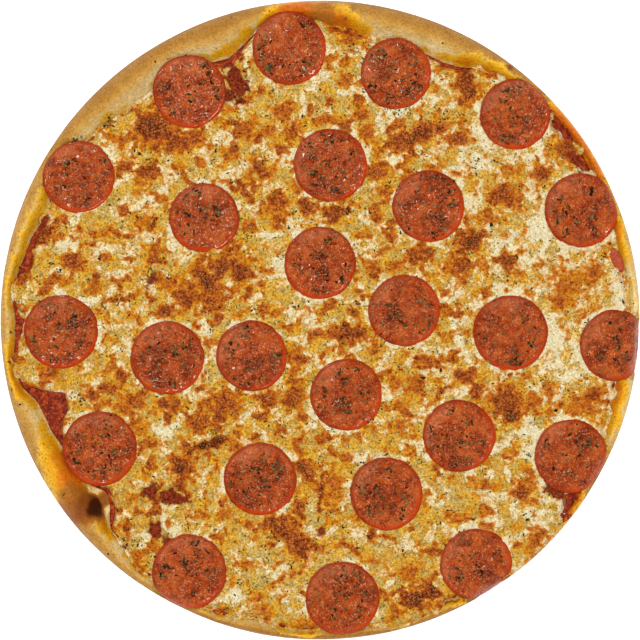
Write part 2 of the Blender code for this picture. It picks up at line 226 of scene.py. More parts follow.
def turnOutwards(points, faceSets):
    # Signed volume by triangles from the first corner; a negative one means inside out
    volume = 0.0
    for faces in faceSets:
        for k in range(1, faces.shape[1] - 1):
            a, b, c = points[faces[:, 0]], points[faces[:, k]], points[faces[:, k + 1]]
            volume += np.einsum("ij,ij->i", a, np.cross(b, c)).sum()
    return [faces[:, ::-1] if volume < 0 else faces for faces in faceSets]


def makePiece(name, points, faceSets, material, replaced=(), marks=None):
    # Puts arrays of points in millimetres and faces into a mesh that rides on the pizza
    faceSets = turnOutwards(points, [np.asarray(faces) for faces in faceSets if len(faces)])
    mesh = bpy.data.meshes.new(name)
    mesh.vertices.add(len(points))
    mesh.vertices.foreach_set("co", (points * mm).ravel())
    corners = np.concatenate([faces.ravel() for faces in faceSets])
    sizes = np.concatenate([np.full(len(faces), faces.shape[1]) for faces in faceSets])
    mesh.loops.add(len(corners))
    mesh.loops.foreach_set("vertex_index", corners.astype(np.int32))
    mesh.polygons.add(len(sizes))
    mesh.polygons.foreach_set("loop_start", (np.cumsum(sizes) - sizes).astype(np.int32))
    mesh.update(calc_edges=True)
    mesh.validate()
    mesh.shade_smooth()
    for mark, values in (marks or {}).items():
        layer = mesh.attributes.new(mark, "FLOAT", "POINT")
        layer.data.foreach_set("value", values.astype(np.float32))
    mesh.materials.append(material)
    piece = bpy.data.objects.new(name, mesh)
    bpy.context.scene.collection.objects.link(piece)
    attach(piece, "root")
    if replaced:
        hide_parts(*replaced)
    return piece


# Materials

def linear(red, green, blue):
    # A colour as it shows on screen, 0 to 255, turned into the shader's own values
    return tuple(c / 12.92 if c <= 0.04045 else ((c + 0.055) / 1.055) ** 2.4
                 for c in (red / 255, green / 255, blue / 255))


class Finish:
    # One material with short calls for the nodes that the finishes share
    def __init__(self, name, roughness, specular=0.5, coat=0.0, coatRoughness=0.2):
        self.material = bpy.data.materials.new(name)
        self.material.use_nodes = True
        self.tree = self.material.node_tree
        self.shader = self.tree.nodes["Principled BSDF"]
        self.shader.inputs["Roughness"].default_value = roughness
        self.shader.inputs["Specular IOR Level"].default_value = specular
        self.shader.inputs["Coat Weight"].default_value = coat
        self.shader.inputs["Coat Roughness"].default_value = coatRoughness
        self.place = self.tree.nodes.new("ShaderNodeTexCoord").outputs["Object"]

    def link(self, source, socket):
        if isinstance(source, (int, float)):
            socket.default_value = source
        elif isinstance(source, tuple):
            socket.default_value = (*source, 1.0)
        else:
            self.tree.links.new(source, socket)

    def noise(self, size, detail=2.0, roughness=0.5, distortion=0.0):
        # size is that of one blotch in millimetres
        node = self.tree.nodes.new("ShaderNodeTexNoise")
        node.inputs["Scale"].default_value = 1 / (size * mm)
        node.inputs["Detail"].default_value = detail
        node.inputs["Roughness"].default_value = roughness
        node.inputs["Distortion"].default_value = distortion
        self.tree.links.new(self.place, node.inputs["Vector"])
        return node.outputs["Fac"]

    def mark(self, name):
        node = self.tree.nodes.new("ShaderNodeAttribute")
        node.attribute_name = name
        return node.outputs["Fac"]

    def math(self, kind, a, b=0.5, c=0.5):
        node = self.tree.nodes.new("ShaderNodeMath")
        node.operation = kind
        for source, socket in zip((a, b, c), node.inputs):
            self.link(source, socket)
        return node.outputs[0]

    def range(self, value, low, high, toLow=0.0, toHigh=1.0):
        node = self.tree.nodes.new("ShaderNodeMapRange")
        node.interpolation_type = "SMOOTHSTEP"
        for source, socket in zip((value, low, high, toLow, toHigh), node.inputs):
            self.link(source, socket)
        return node.outputs[0]

    def ramp(self, value, stops):
        node = self.tree.nodes.new("ShaderNodeValToRGB")
        marks = node.color_ramp.elements
        while len(marks) < len(stops):
            marks.new(0.5)
        for mark, (place, colour) in zip(marks, stops):
            mark.position = place
            mark.color = (*colour, 1.0)
        self.link(value, node.inputs["Fac"])
        return node.outputs["Color"]

    def mix(self, share, a, b, kind="MIX"):
        node = self.tree.nodes.new("ShaderNodeMix")
        node.data_type = "RGBA"
        node.blend_type = kind
        self.link(share, node.inputs[0])
        self.link(a, node.inputs[6])
        self.link(b, node.inputs[7])
        return node.outputs[2]

    def bump(self, height, depth, before=None):
        # depth is that of the relief in millimetres
        node = self.tree.nodes.new("ShaderNodeBump")
        node.inputs["Strength"].default_value = 1.0
        node.inputs["Distance"].default_value = depth * mm
        self.link(height, node.inputs["Height"])
        if before:
            self.link(before, node.inputs["Normal"])
        return node.outputs["Normal"]

    def finish(self, colour, roughness=None, normal=None):
        self.link(colour, self.shader.inputs["Base Color"])
        if roughness is not None:
            self.link(roughness, self.shader.inputs["Roughness"])
        if normal is not None:
            self.link(normal, self.shader.inputs["Normal"])
        return self.material


crustLook = dict(
    # the pale colour is lighter than the dough's own cream: painted light that brightens the rim's shaded inner slope
    tan=linear(202, 154, 74), golden=linear(166, 112, 36), pale=linear(246, 222, 160),
    stains=((0.0, linear(228, 186, 92)), (0.35, linear(230, 176, 38)), (0.7, linear(226, 156, 14)),
            (1.0, linear(208, 104, 10))),
    brown=linear(166, 96, 24), toast=linear(120, 58, 14), burnt=linear(60, 20, 6),
)


def crustFinish():
    # Pale inside and tan outside, with oil stains from yellow to red by the sauce and toasted patches
    f = Finish("baked crust", 0.62, 0.3)
    blotch = f.noise(9, 4, 0.6)
    fine = f.noise(2.4, 3, 0.65)
    grain = f.noise(1.15, 3, 0.75)
    uneven = f.math("MULTIPLY_ADD", grain, 0.5, -0.25)
    tanShare = f.math("ADD", f.mark("tan"), f.math("MULTIPLY_ADD", blotch, 0.7, -0.35))
    tanShare = f.math("ADD", f.math("MULTIPLY_ADD", fine, 0.8, -0.4), f.math("ADD", tanShare, uneven))
    colour = f.ramp(tanShare, ((0.0, crustLook["pale"]), (0.5, crustLook["tan"]), (1.0, crustLook["golden"])))
    stain = f.math("ADD", f.math("MULTIPLY_ADD", fine, 0.6, -0.3), f.math("ADD", f.mark("stain"), uneven))
    colour = f.mix(f.range(stain, 0.08, 0.4), colour, f.ramp(stain, crustLook["stains"]))
    toasted = f.math("ADD", f.math("MULTIPLY_ADD", fine, 0.8, -0.4), f.math("ADD", uneven, f.mark("toast")))
    colour = f.mix(f.range(toasted, 0.05, 0.35), colour, f.ramp(toasted, (
        (0.1, crustLook["golden"]), (0.45, crustLook["brown"]), (0.9, crustLook["toast"]))))
    burnt = f.range(f.math("ADD", uneven, f.mark("burnt")), 0.3, 1.0)
    colour = f.mix(burnt, colour, crustLook["burnt"])
    shade = f.ramp(f.math("MULTIPLY_ADD", fine, 0.4, f.math("SUBTRACT", grain, 0.2)), (
        (0.34, (0.62, 0.54, 0.42)), (0.5, (1.0, 1.0, 1.0)), (0.66, (1.2, 1.24, 1.36))))
    colour = f.mix(1.0, colour, shade, "MULTIPLY")
    normal = f.bump(grain, 0.4, f.bump(fine, 0.4))
    return f.finish(colour, f.range(stain, 0.1, 0.8, 0.66, 0.4), normal)


sauceLook = dict(dark=linear(74, 14, 8), red=linear(136, 36, 12), orange=linear(190, 88, 20))


def sauceFinish():
    # Dark, oily tomato with paler pulp
    f = Finish("tomato sauce", 0.3, 0.4)
    pulp = f.noise(2.6, 4, 0.7, 0.5)
    fine = f.noise(0.8, 3, 0.7)
    colour = f.ramp(f.math("MULTIPLY_ADD", fine, 0.9, f.math("SUBTRACT", pulp, 0.45)), (
        (0.32, sauceLook["dark"]), (0.52, sauceLook["red"]), (0.72, sauceLook["orange"])))
    return f.finish(colour, None, f.bump(fine, 0.25, f.bump(pulp, 0.8)))


cheeseLook = dict(
    ivory=linear(240, 224, 178), cream=linear(234, 200, 124), yellow=linear(224, 172, 56), dust=linear(146, 100, 30),
    amber=linear(220, 148, 10), gold=linear(208, 120, 0), orange=linear(180, 82, 0), brown=linear(136, 50, 4),
    dark=linear(72, 26, 4), paintedGlint=linear(214, 138, 66), sauce=linear(112, 30, 14), pulp=linear(158, 62, 22),
    speck=linear(78, 60, 24), olive=linear(204, 172, 92),
)


def cheeseFinish():
    # Ivory and cream curds in yellow and olive with brown dust, browned through gold and orange
    # to dark at the blisters, with painted glints in the browned parts, sauce showing in hollows and fine dark specks
    # all over
    f = Finish("melted cheese", 0.42, 0.35)
    clump = f.noise(5.5, 3, 0.55, 0.8)
    curd = f.noise(2.1, 3, 0.65, 0.6)
    dust = f.noise(2.5, 4, 0.75, 0.4)
    fine = f.noise(1.1, 3, 0.75)
    grain = f.noise(0.5, 2, 0.6)
    small = f.math("MULTIPLY_ADD", fine, 0.6, -0.3)
    milk = f.math("MULTIPLY_ADD", clump, 0.8, f.math("MULTIPLY_ADD", small, 0.5, f.mark("pale")))
    milk = f.math("MULTIPLY_ADD", curd, -0.6, f.math("ADD", milk, 0.35))
    colour = f.mix(f.range(f.noise(4, 2, 0.5), 0.44, 0.58), cheeseLook["yellow"], cheeseLook["olive"])
    colour = f.mix(f.range(milk, 0.3, 0.6), colour, cheeseLook["cream"])
    colour = f.mix(f.range(dust, 0.52, 0.66, 0.0, 0.7), colour, cheeseLook["dust"])
    ivory = f.range(milk, 0.5, 0.66)
    colour = f.mix(ivory, colour, cheeseLook["ivory"])
    heat = f.math("MULTIPLY_ADD", clump, 0.7, f.math("SUBTRACT", f.mark("browned"), 0.35))
    heat = f.math("MULTIPLY_ADD", curd, 1.5, f.math("SUBTRACT", f.math("ADD", heat, small), 0.75))
    colour = f.mix(f.range(heat, 0.08, 0.28, 0.0, 0.8), colour, cheeseLook["amber"])
    colour = f.mix(f.range(heat, 0.28, 0.46), colour, cheeseLook["gold"])
    colour = f.mix(f.range(heat, 0.44, 0.66), colour, cheeseLook["orange"])
    colour = f.mix(f.range(heat, 0.62, 0.86), colour, cheeseLook["brown"])
    colour = f.mix(f.range(heat, 0.94, 1.25), colour, cheeseLook["dark"])
    # painted glints: pale tan specks in the browned patches stand in for light off the oil
    paintedGlint = f.range(f.math("MULTIPLY_ADD", grain, 0.5, fine), 0.74, 0.89, 0.0, 0.62)
    paintedGlint = f.math("MULTIPLY", f.range(heat, 0.4, 0.7), paintedGlint)
    colour = f.mix(paintedGlint, colour, cheeseLook["paintedGlint"])
    shows = f.range(f.math("MULTIPLY_ADD", curd, 0.7, f.math("ADD", small, f.mark("sauce"))), 0.6, 1.05)
    colour = f.mix(shows, colour, f.ramp(fine, ((0.38, cheeseLook["sauce"]), (0.66, cheeseLook["pulp"]))))
    shade = f.ramp(f.math("MULTIPLY_ADD", grain, 0.6, f.math("SUBTRACT", fine, 0.3)), (
        (0.34, (0.5, 0.42, 0.3)), (0.5, (1.0, 1.0, 1.0)), (0.68, (1.35, 1.4, 1.55))))
    colour = f.mix(f.math("MULTIPLY_ADD", ivory, -0.4, 0.95), colour, shade, "MULTIPLY")
    speck = f.range(f.math("MULTIPLY_ADD", dust, 0.6, grain), 0.96, 1.06, 0.0, 0.5)
    colour = f.mix(speck, colour, cheeseLook["speck"])
    normal = f.bump(grain, 0.3, f.bump(fine, 0.9, f.bump(curd, 1.0)))
    return f.finish(colour, f.range(fine, 0.3, 0.7, 0.22, 0.6), normal)


sliceLook = dict(
    fatAndGlint=linear(228, 146, 92), pink=linear(192, 88, 24), red=linear(176, 62, 0), deep=linear(154, 42, 0),
    brown=linear(108, 30, 0), pit=linear(34, 16, 4), ring=linear(158, 36, 2), glow=linear(208, 64, 0),
    herb=linear(96, 72, 34), paintedSheen=linear(212, 124, 82),
)


def sliceFinish():
    # Mottled red and orange meat with pale fat specks, which also serve as painted glints, dark pits and herb dust,
    # a smooth ring at the edge, a painted pink sheen on one side and, on the other side, painted light: a brighter
    # orange on the edge
    f = Finish("baked pepperoni", 0.4, 0.35, 0.25, 0.1)
    cloud = f.noise(7, 3, 0.6, 0.5)
    mottle = f.noise(2.8, 4, 0.75, 0.8)
    fine = f.noise(1.05, 3, 0.75, 0.3)
    grain = f.noise(0.5, 2, 0.6)
    other = f.noise(3.0, 3, 0.65, 0.6)
    smooth = f.range(f.math("MULTIPLY_ADD", fine, 0.08, f.mark("edge")), 0.93, 0.98)
    tone = f.math("MULTIPLY_ADD", cloud, 2.2, -0.56)
    tone = f.math("MULTIPLY_ADD", mottle, 1.1, f.math("SUBTRACT", tone, 0.55))
    tone = f.math("MULTIPLY_ADD", fine, 1.9, f.math("SUBTRACT", tone, 0.95))
    tone = f.math("MULTIPLY_ADD", grain, 2.1, f.math("SUBTRACT", tone, 1.05))
    colour = f.ramp(tone, (
        (0.06, sliceLook["pink"]), (0.34, sliceLook["red"]), (0.6, sliceLook["deep"]),
        (0.84, sliceLook["brown"]), (1.0, sliceLook["pit"])))
    # pale fat specks, which also stand in for painted glints
    fleck = f.math("MULTIPLY_ADD", grain, 0.9, f.math("MULTIPLY_ADD", mottle, -0.3, fine))
    colour = f.mix(f.range(fleck, 0.85, 0.97, 0.0, 0.85), colour, sliceLook["fatAndGlint"])
    # painted sheen: a pink haze over the side of each slice away from the painted light
    paintedSheen = f.range(f.math("MULTIPLY_ADD", fine, 1.2, f.mark("paintedSheen")), 1.2, 1.8, 0.0, 0.45)
    colour = f.mix(paintedSheen, colour, sliceLook["paintedSheen"])
    dusty = f.range(f.math("MULTIPLY_ADD", fine, 0.6, other), 0.88, 0.98, 0.0, 0.8)
    colour = f.mix(f.math("MULTIPLY", dusty, f.math("SUBTRACT", 1.0, smooth)), colour, sliceLook["herb"])
    colour = f.mix(f.math("MULTIPLY", smooth, 0.7), colour, sliceLook["ring"])
    # painted light: a brighter orange on the edge at one side of each slice
    colour = f.mix(f.math("MULTIPLY", f.mark("glow"), 0.6), colour, sliceLook["glow"])
    normal = f.bump(grain, 0.3, f.bump(fine, 0.8, f.bump(mottle, 0.6)))
    return f.finish(colour, f.range(fine, 0.35, 0.65, 0.16, 0.5), normal)


def hamFinish():
    # Pink-red cured meat with a faint grain
    f = Finish("cooked ham", 0.4, 0.4)
    grain = f.noise(1.1, 3, 0.6)
    colour = f.ramp(grain, ((0.3, linear(140, 40, 16)), (0.7, linear(184, 84, 44))))
    return f.finish(colour, None, f.bump(grain, 0.2))


def herbFinish():
    # Dried leaves, from near black to olive, each flake with a tone of its own
    f = Finish("dried herbs", 0.7, 0.3)
    tone = f.math("MULTIPLY_ADD", f.noise(0.7, 2), 0.3, f.mark("tone"))
    colour = f.ramp(tone, ((0.15, linear(28, 20, 12)), (0.5, linear(62, 50, 24)), (0.85, linear(104, 90, 44)),
                           (1.0, linear(140, 124, 76))))
    return f.finish(colour)


# Dough

crustCfg = dict(
    steps=720, slopeRows=18, outerRows=14, lowerRows=9, lowerInset=7.0, lumps=0.25, grain=0.1,
    sliceGap=1.35,                  # how far inside the circle of a folded slice the dough's side stays
    # angle in degrees, and how tan the dough is there: 0 pale, 1 golden
    tanAt=((6, 0.25), (25, 0.7), (60, 0.9), (100, 0.9), (120, 0.95), (140, 0.9), (155, 0.65), (185, 0.55),
           (205, 0.75), (230, 0.75), (248, 1.0), (262, 1.1), (290, 1.05), (305, 1.0), (330, 0.8), (340, 0.3)),
    # angle, strength of the oil stain at the sauce, and how far out it reaches in mm
    stainAt=((0, 0.1, 3), (8, 0.5, 4), (14, 1.1, 8), (20, 1.35, 11), (30, 1.3, 12), (40, 1.3, 12), (52, 0.9, 6),
             (56, 1.0, 8), (60, 1.1, 10), (64, 0.8, 6), (68, 0.8, 4), (72, 0.6, 4), (78, 0.5, 4), (82, 1.0, 9),
             (86, 1.3, 15), (92, 1.5, 22), (97, 1.3, 16), (101, 0.7, 6), (105, 0.8, 7), (110, 0.9, 8),
             (116, 0.6, 5), (122, 0.4, 4), (130, 0.5, 5), (136, 0.6, 6), (141, 0.5, 4), (153, 0.7, 7),
             (158, 0.75, 9), (166, 0.7, 8), (174, 0.65, 6), (180, 0.5, 5), (188, 1.0, 6), (194, 1.1, 6),
             (198, 0.7, 5), (202, 0.8, 8), (207, 1.1, 16), (213, 1.35, 22), (218, 1.4, 18), (223, 1.1, 8),
             (228, 0.7, 3), (235, 0.7, 4), (246, 0.6, 3), (258, 0.5, 3), (266, 0.6, 3), (284, 0.6, 3),
             (292, 0.7, 5), (300, 1.2, 7), (320, 1.2, 7), (330, 0.9, 5), (337, 0.8, 4), (341, 1.0, 8),
             (345, 1.2, 10), (349, 1.0, 6), (355, 0.4, 3)),
    # browned and burnt places: x, y, radius in mm, strength
    toast=((-111, -88, 9, 0.8), (-104, -86, 8, 1.1), (-117, -92, 7, 0.6), (-120, -83, 5, 0.4),
           (90, 120, 1.6, 0.9), (2, 147, 8, 0.3)),
    burnt=((-105.4, -88.4, 4.6, 1.25), (-107.5, -90, 3.5, 1.0)),
)


def crustPiece():
    # A closed profile carried round the centre: underside, lower round, outer quarter ellipse,
    # inner slope and level floor, with the width and height of the rim read at each angle
    c = crustCfg
    angle = np.arange(c["steps"]) * 360 / c["steps"]
    width = radius - around(angle, footRing)
    low = np.linspace(0, 1, c["lowerRows"])[::-1, None]
    lowerReach = radius - c["lowerInset"] * low ** 2.2 + 0 * width
    lowerHeight = doughTop * (1 - low) ** 1.6 + 0 * width
    out = (1 - np.cos(np.linspace(0, 1, c["outerRows"] + 1)[1:, None] * math.pi / 2)) * 0.5
    inner = 0.5 + 0.5 * np.linspace(0, 1, c["slopeRows"] + 1)[1:, None]
    rimReach = radius - np.vstack((out, inner)) * width
    reach = np.vstack((0 * width + radius * 0.4, lowerReach, rimReach, 0 * width + radius * 0.5))
    turn = np.radians(angle)[None, :]
    x, y = reach * np.cos(turn), reach * np.sin(turn)
    height = np.vstack((0 * width, lowerHeight, rimHeight(*(rimReach * np.array((np.cos(turn), np.sin(turn))))),
                        0 * width + doughTop))
    onTop = np.zeros(reach.shape)
    onTop[1 + c["lowerRows"] - 3:-2] = 1
    height = height + onTop * (c["lumps"] * waves(x, y, 9, 3, 3) + c["grain"] * waves(x, y, 2.2, 8, 2))
    height = np.where(onTop > 0, underSlices(x, y, height, 0.3, 0.5), height)
    height = np.where(onTop > 0, np.maximum(height, doughTop * 0.6), height)
    for piece in slices:
        # under a folded slice the side follows the circle that the slice bends round
        centre = sliceBase(piece, x, y) + piece["thick"] / 2 - fold["radius"]
        past, rise = reach - fold["start"], height - centre
        turned = np.arctan2(past, rise)
        flatReach = fold["start"] + fold["radius"] * turned
        away = np.hypot(flatReach * np.cos(turn) - piece["x"], flatReach * np.sin(turn) - piece["y"])
        bow = np.hypot(past, rise)
        most = np.minimum(1, (fold["radius"] - c["sliceGap"]) / bow)
        share = np.where((past > 0) & (away < piece["r"] + 0.5), most, 1)
        reach = np.where(past > 0, fold["start"] + past * share, reach)
        height = np.where(past > 0, centre + rise * share, height)
    x, y = reach * np.cos(turn), reach * np.sin(turn)
    rows, columns = reach.shape
    points = np.stack((x, y, height), -1).reshape(-1, 3)
    points = np.vstack((points, ((0, 0, 0), (0, 0, doughTop))))
    ring = np.arange(columns)
    faces = (gridFaces(rows, columns, True), fanFaces(ring[::-1], rows * columns),
             fanFaces((rows - 1) * columns + ring, rows * columns + 1))
    return makePiece("doughCrust", points, faces, crustFinish(), ("crust",), crustMarks(points))


def spotSum(x, y, spots, rough=0.35, cell=5.0, seed=21):
    # The strongest of several soft spots, each with a ragged outline
    ragged = 1 + rough * waves(x, y, cell, seed, 3)
    most = np.zeros(x.shape)
    for sx, sy, size, strength in spots:
        away = np.hypot(x - sx, y - sy) * ragged / size
        most = np.maximum(most, strength * (1 - fade(away, 0.2, 1.6)))
    return most


def crustMarks(points):
    # How tan, oil stained, toasted and burnt each point of the dough is
    c = crustCfg
    x, y, z = points.T
    reach, angle = polar(x, y)
    foot = around(angle, footRing)
    share = (reach - foot) / (radius - foot)
    tanRow, stainRow = np.array(c["tanAt"], float).T, np.array(c["stainAt"], float).T
    outwards = 0.1 + 0.9 * fade(share, 0.15, 0.7) + 0.5 * fade(share, 0.88, 1.0)
    tan = np.interp(angle, *tanRow, period=360) * outwards
    tan = np.maximum(tan, 1.1 * (1 - fade(z, 3.5, 6.5)))
    spread = np.interp(angle, stainRow[0], stainRow[2], period=360)
    ragged = reach - foot + 2.2 * waves(x, y, 7, 5, 3)
    stain = np.interp(angle, stainRow[0], stainRow[1], period=360) * 0.9 * (1 - fade(ragged, 0.0, 1.15 * spread))
    upper = fade(z + 1.5 * waves(x, y, 6, 11, 3), 5.0, 9.5)          # nothing runs down the outer side
    toast = np.maximum(upper * spotSum(x, y, c["toast"]), 0.5 * (1 - fade(z, 0.5, 3.5)))
    return dict(tan=tan, stain=stain * upper, toast=toast, burnt=upper * spotSum(x, y, c["burnt"], 0.25))


# Sauce

sauceCfg = dict(
    steps=480, rows=60, inner=70.0, lumps=0.5, above=0.9, beyond=0.9, sunk=0.6,
    # where its edge lies further out or in: angle, how far in mm and half the width in degrees
    laps=((323.5, 3.4, 3.4), (41, 2.6, 4), (219.5, -5.0, 3.2)),
)


def saucePiece():
    # Rings from an inner circle to the dough's inner foot; the top is the sauce's level plus lumps
    c = sauceCfg
    angle = np.arange(c["steps"]) * 360 / c["steps"]
    turn = np.radians(angle)[None, :]
    share = np.linspace(0, 1, c["rows"])[:, None]
    edge = around(angle, sauceRing) + c["beyond"]
    for middle, further, half in c["laps"]:
        edge = edge + further * np.exp(-((angle - middle) / half) ** 2)
    reach = c["inner"] + (edge - c["inner"]) * share
    x, y = reach * np.cos(turn), reach * np.sin(turn)
    lumps = c["lumps"] * waves(x, y, 5, 31, 3)
    top = np.maximum(sauceTop + c["above"] + lumps, rimHeight(x, y) + 0.25 + 0.3 * lumps)
    top = underSlices(x, y, top, 0.3, 0.4)
    low = np.full((1, c["steps"]), doughTop - c["sunk"])
    x, y = np.vstack((x, x[-1:], x[:1])), np.vstack((y, y[-1:], y[:1]))
    points = np.stack((x, y, np.vstack((top, low, low))), -1)
    rows, columns = points.shape[:2]
    points = np.vstack((points.reshape(-1, 3), ((0, 0, sauceTop + 0.5), (0, 0, doughTop - c["sunk"]))))
    ring = np.arange(columns)
    faces = (gridFaces(rows, columns, True), fanFaces(ring[::-1], rows * columns),
             fanFaces((rows - 1) * columns + ring, rows * columns + 1))
    return makePiece("tomatoSauce", points, faces, sauceFinish(), ("sauce",))


# Cheese

